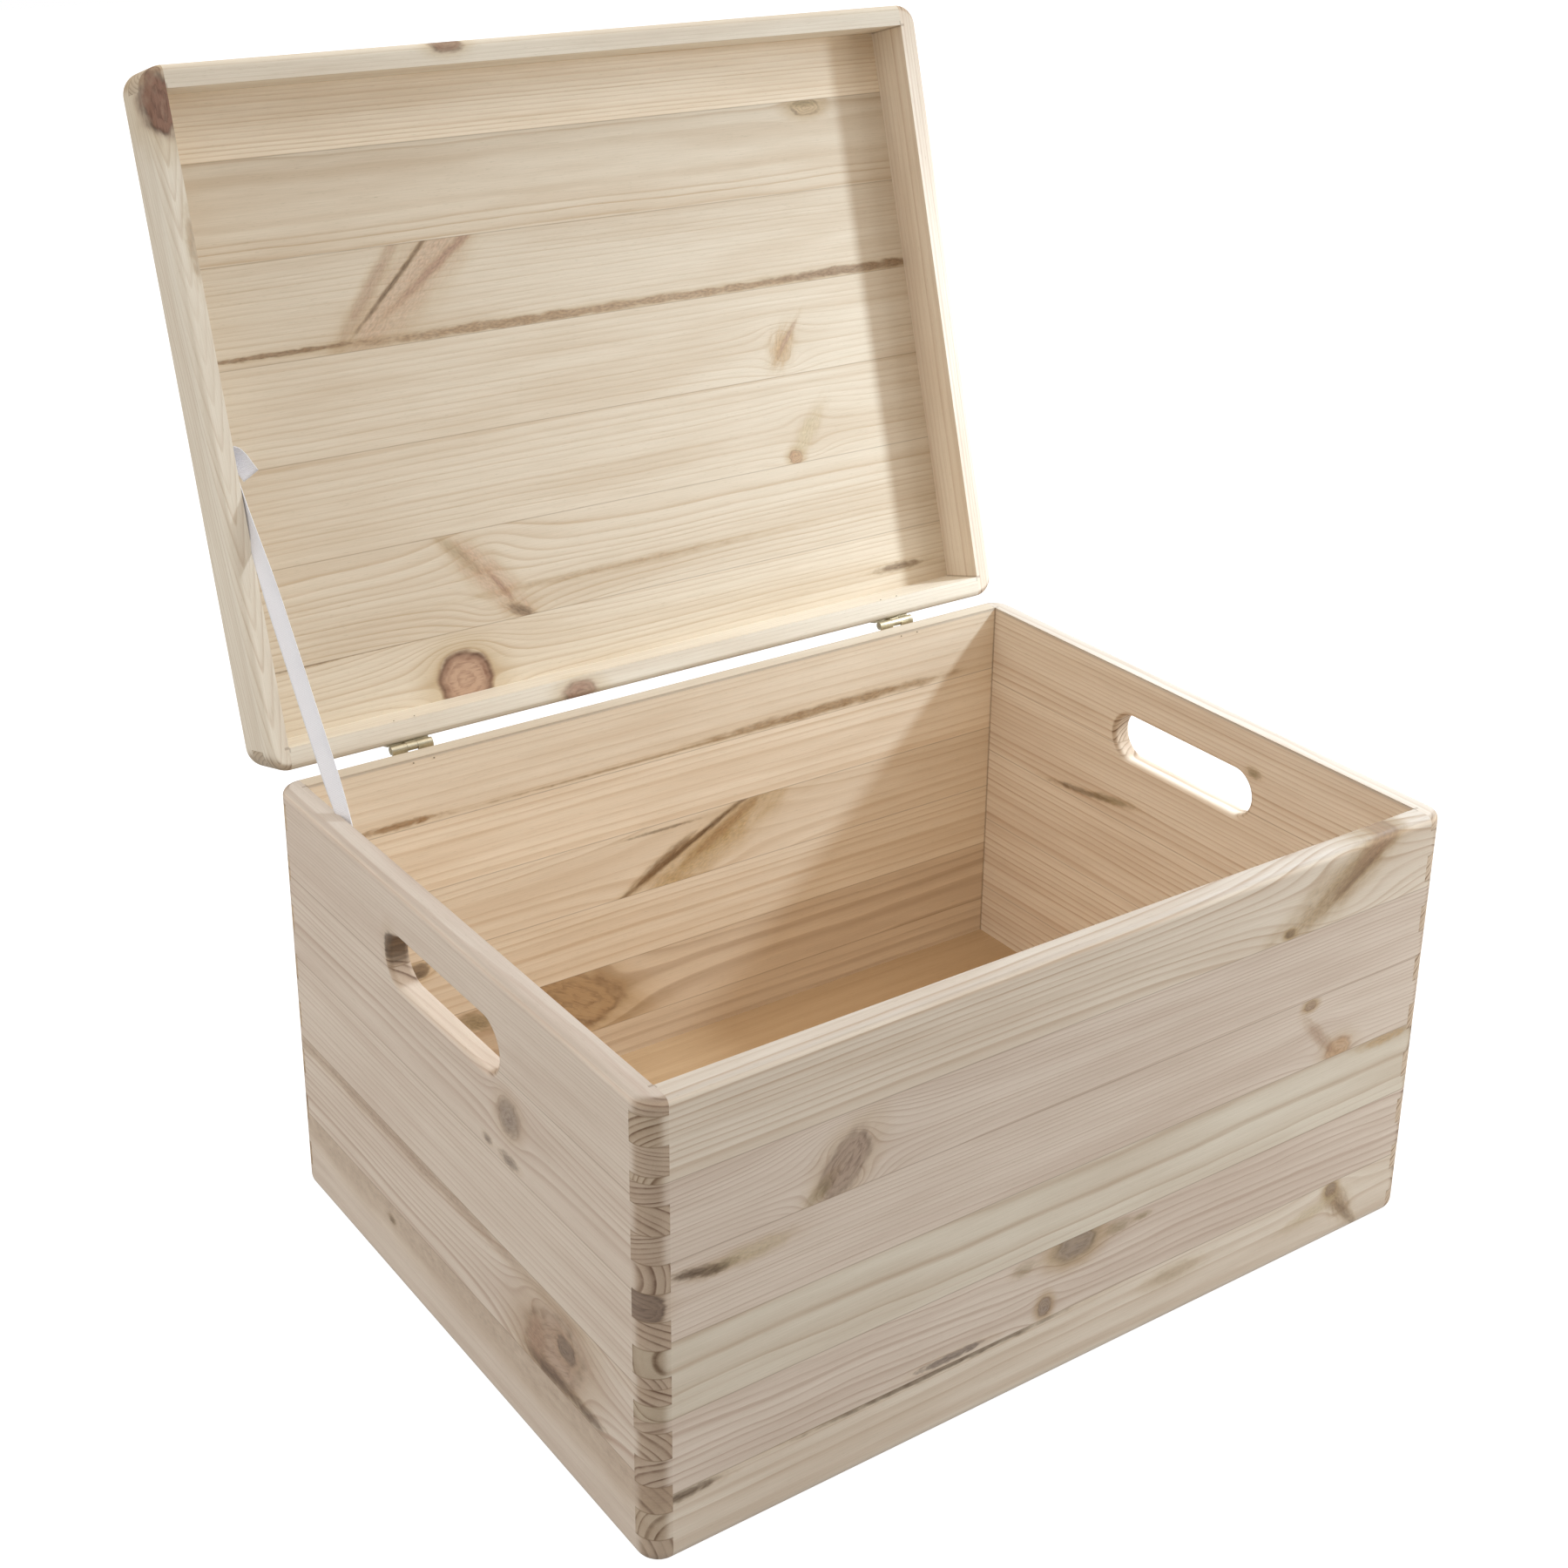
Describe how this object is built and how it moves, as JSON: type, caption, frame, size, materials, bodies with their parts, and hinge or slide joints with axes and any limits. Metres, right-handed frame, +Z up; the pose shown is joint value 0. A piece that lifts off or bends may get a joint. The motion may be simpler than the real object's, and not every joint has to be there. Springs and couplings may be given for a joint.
{
  "type": "toy box",
  "caption": "Rectangular toy box of glued pine boards with finger-jointed corners, oval hand holes and a hinged lid standing open on a ribbon stay.",
  "frame": {"origin": "on the ground under the centre of the open toy box's bounding box", "axes": "+Z up, -Y towards the front, +X along the length, to the right as seen from the front"},
  "size_m": [0.4, 0.4128, 0.4898],
  "materials": {
    "pine": "untreated, finely sanded",
    "plywood": "untreated plywood",
    "hinge_brass": "brass-plated, satin",
    "hinge_nail": "brass-plated, dull",
    "ribbon": "white satin",
    "staple_steel": "galvanised wire"
  },
  "bodies": {
    "box": {"back_board_1": "pine", "back_board_2": "pine", "back_board_3": "pine", "back_board_4": "pine", "back_board_5": "pine", "back_board_6": "pine", "floor_panel": "plywood", "front_board_1": "pine", "front_board_2": "pine", "front_board_3": "pine", "front_board_4": "pine", "front_board_5": "pine", "front_board_6": "pine", "left_board_1": "pine", "left_board_2": "pine", "left_board_3": "pine", "left_board_4": "pine", "left_board_5": "pine", "left_hinge_box_leaf": "hinge_brass", "left_hinge_box_nail_1": "hinge_nail", "left_hinge_box_nail_2": "hinge_nail", "left_hinge_pin": "hinge_brass", "ribbon_staple_box": "staple_steel", "right_board_1": "pine", "right_board_2": "pine", "right_board_3": "pine", "right_board_4": "pine", "right_board_5": "pine", "right_hinge_box_leaf": "hinge_brass", "right_hinge_box_nail_1": "hinge_nail", "right_hinge_box_nail_2": "hinge_nail", "right_hinge_pin": "hinge_brass", "stay_ribbon": "ribbon"},
    "lid": {"left_hinge_lid_leaf": "hinge_brass", "left_hinge_lid_nail_1": "hinge_nail", "left_hinge_lid_nail_2": "hinge_nail", "lid_board_1": "pine", "lid_board_2": "pine", "lid_board_3": "pine", "lid_board_4": "pine", "lid_board_5": "pine", "lid_board_6": "pine", "lid_board_7": "pine", "lid_rail_back": "pine", "lid_rail_front": "pine", "lid_rail_left": "pine", "lid_rail_right": "pine", "ribbon_staple_lid": "staple_steel", "right_hinge_lid_leaf": "hinge_brass", "right_hinge_lid_nail_1": "hinge_nail", "right_hinge_lid_nail_2": "hinge_nail"}
  },
  "joints": [
    {"name": "lid_hinge", "type": "hinge", "parent": "box", "child": "lid", "pos_m": [0, 0.09581, 0.20015], "axis": [-1, 0, 0], "range_deg": [-106, 0], "deforming": ["stay_ribbon"]}
  ]
}
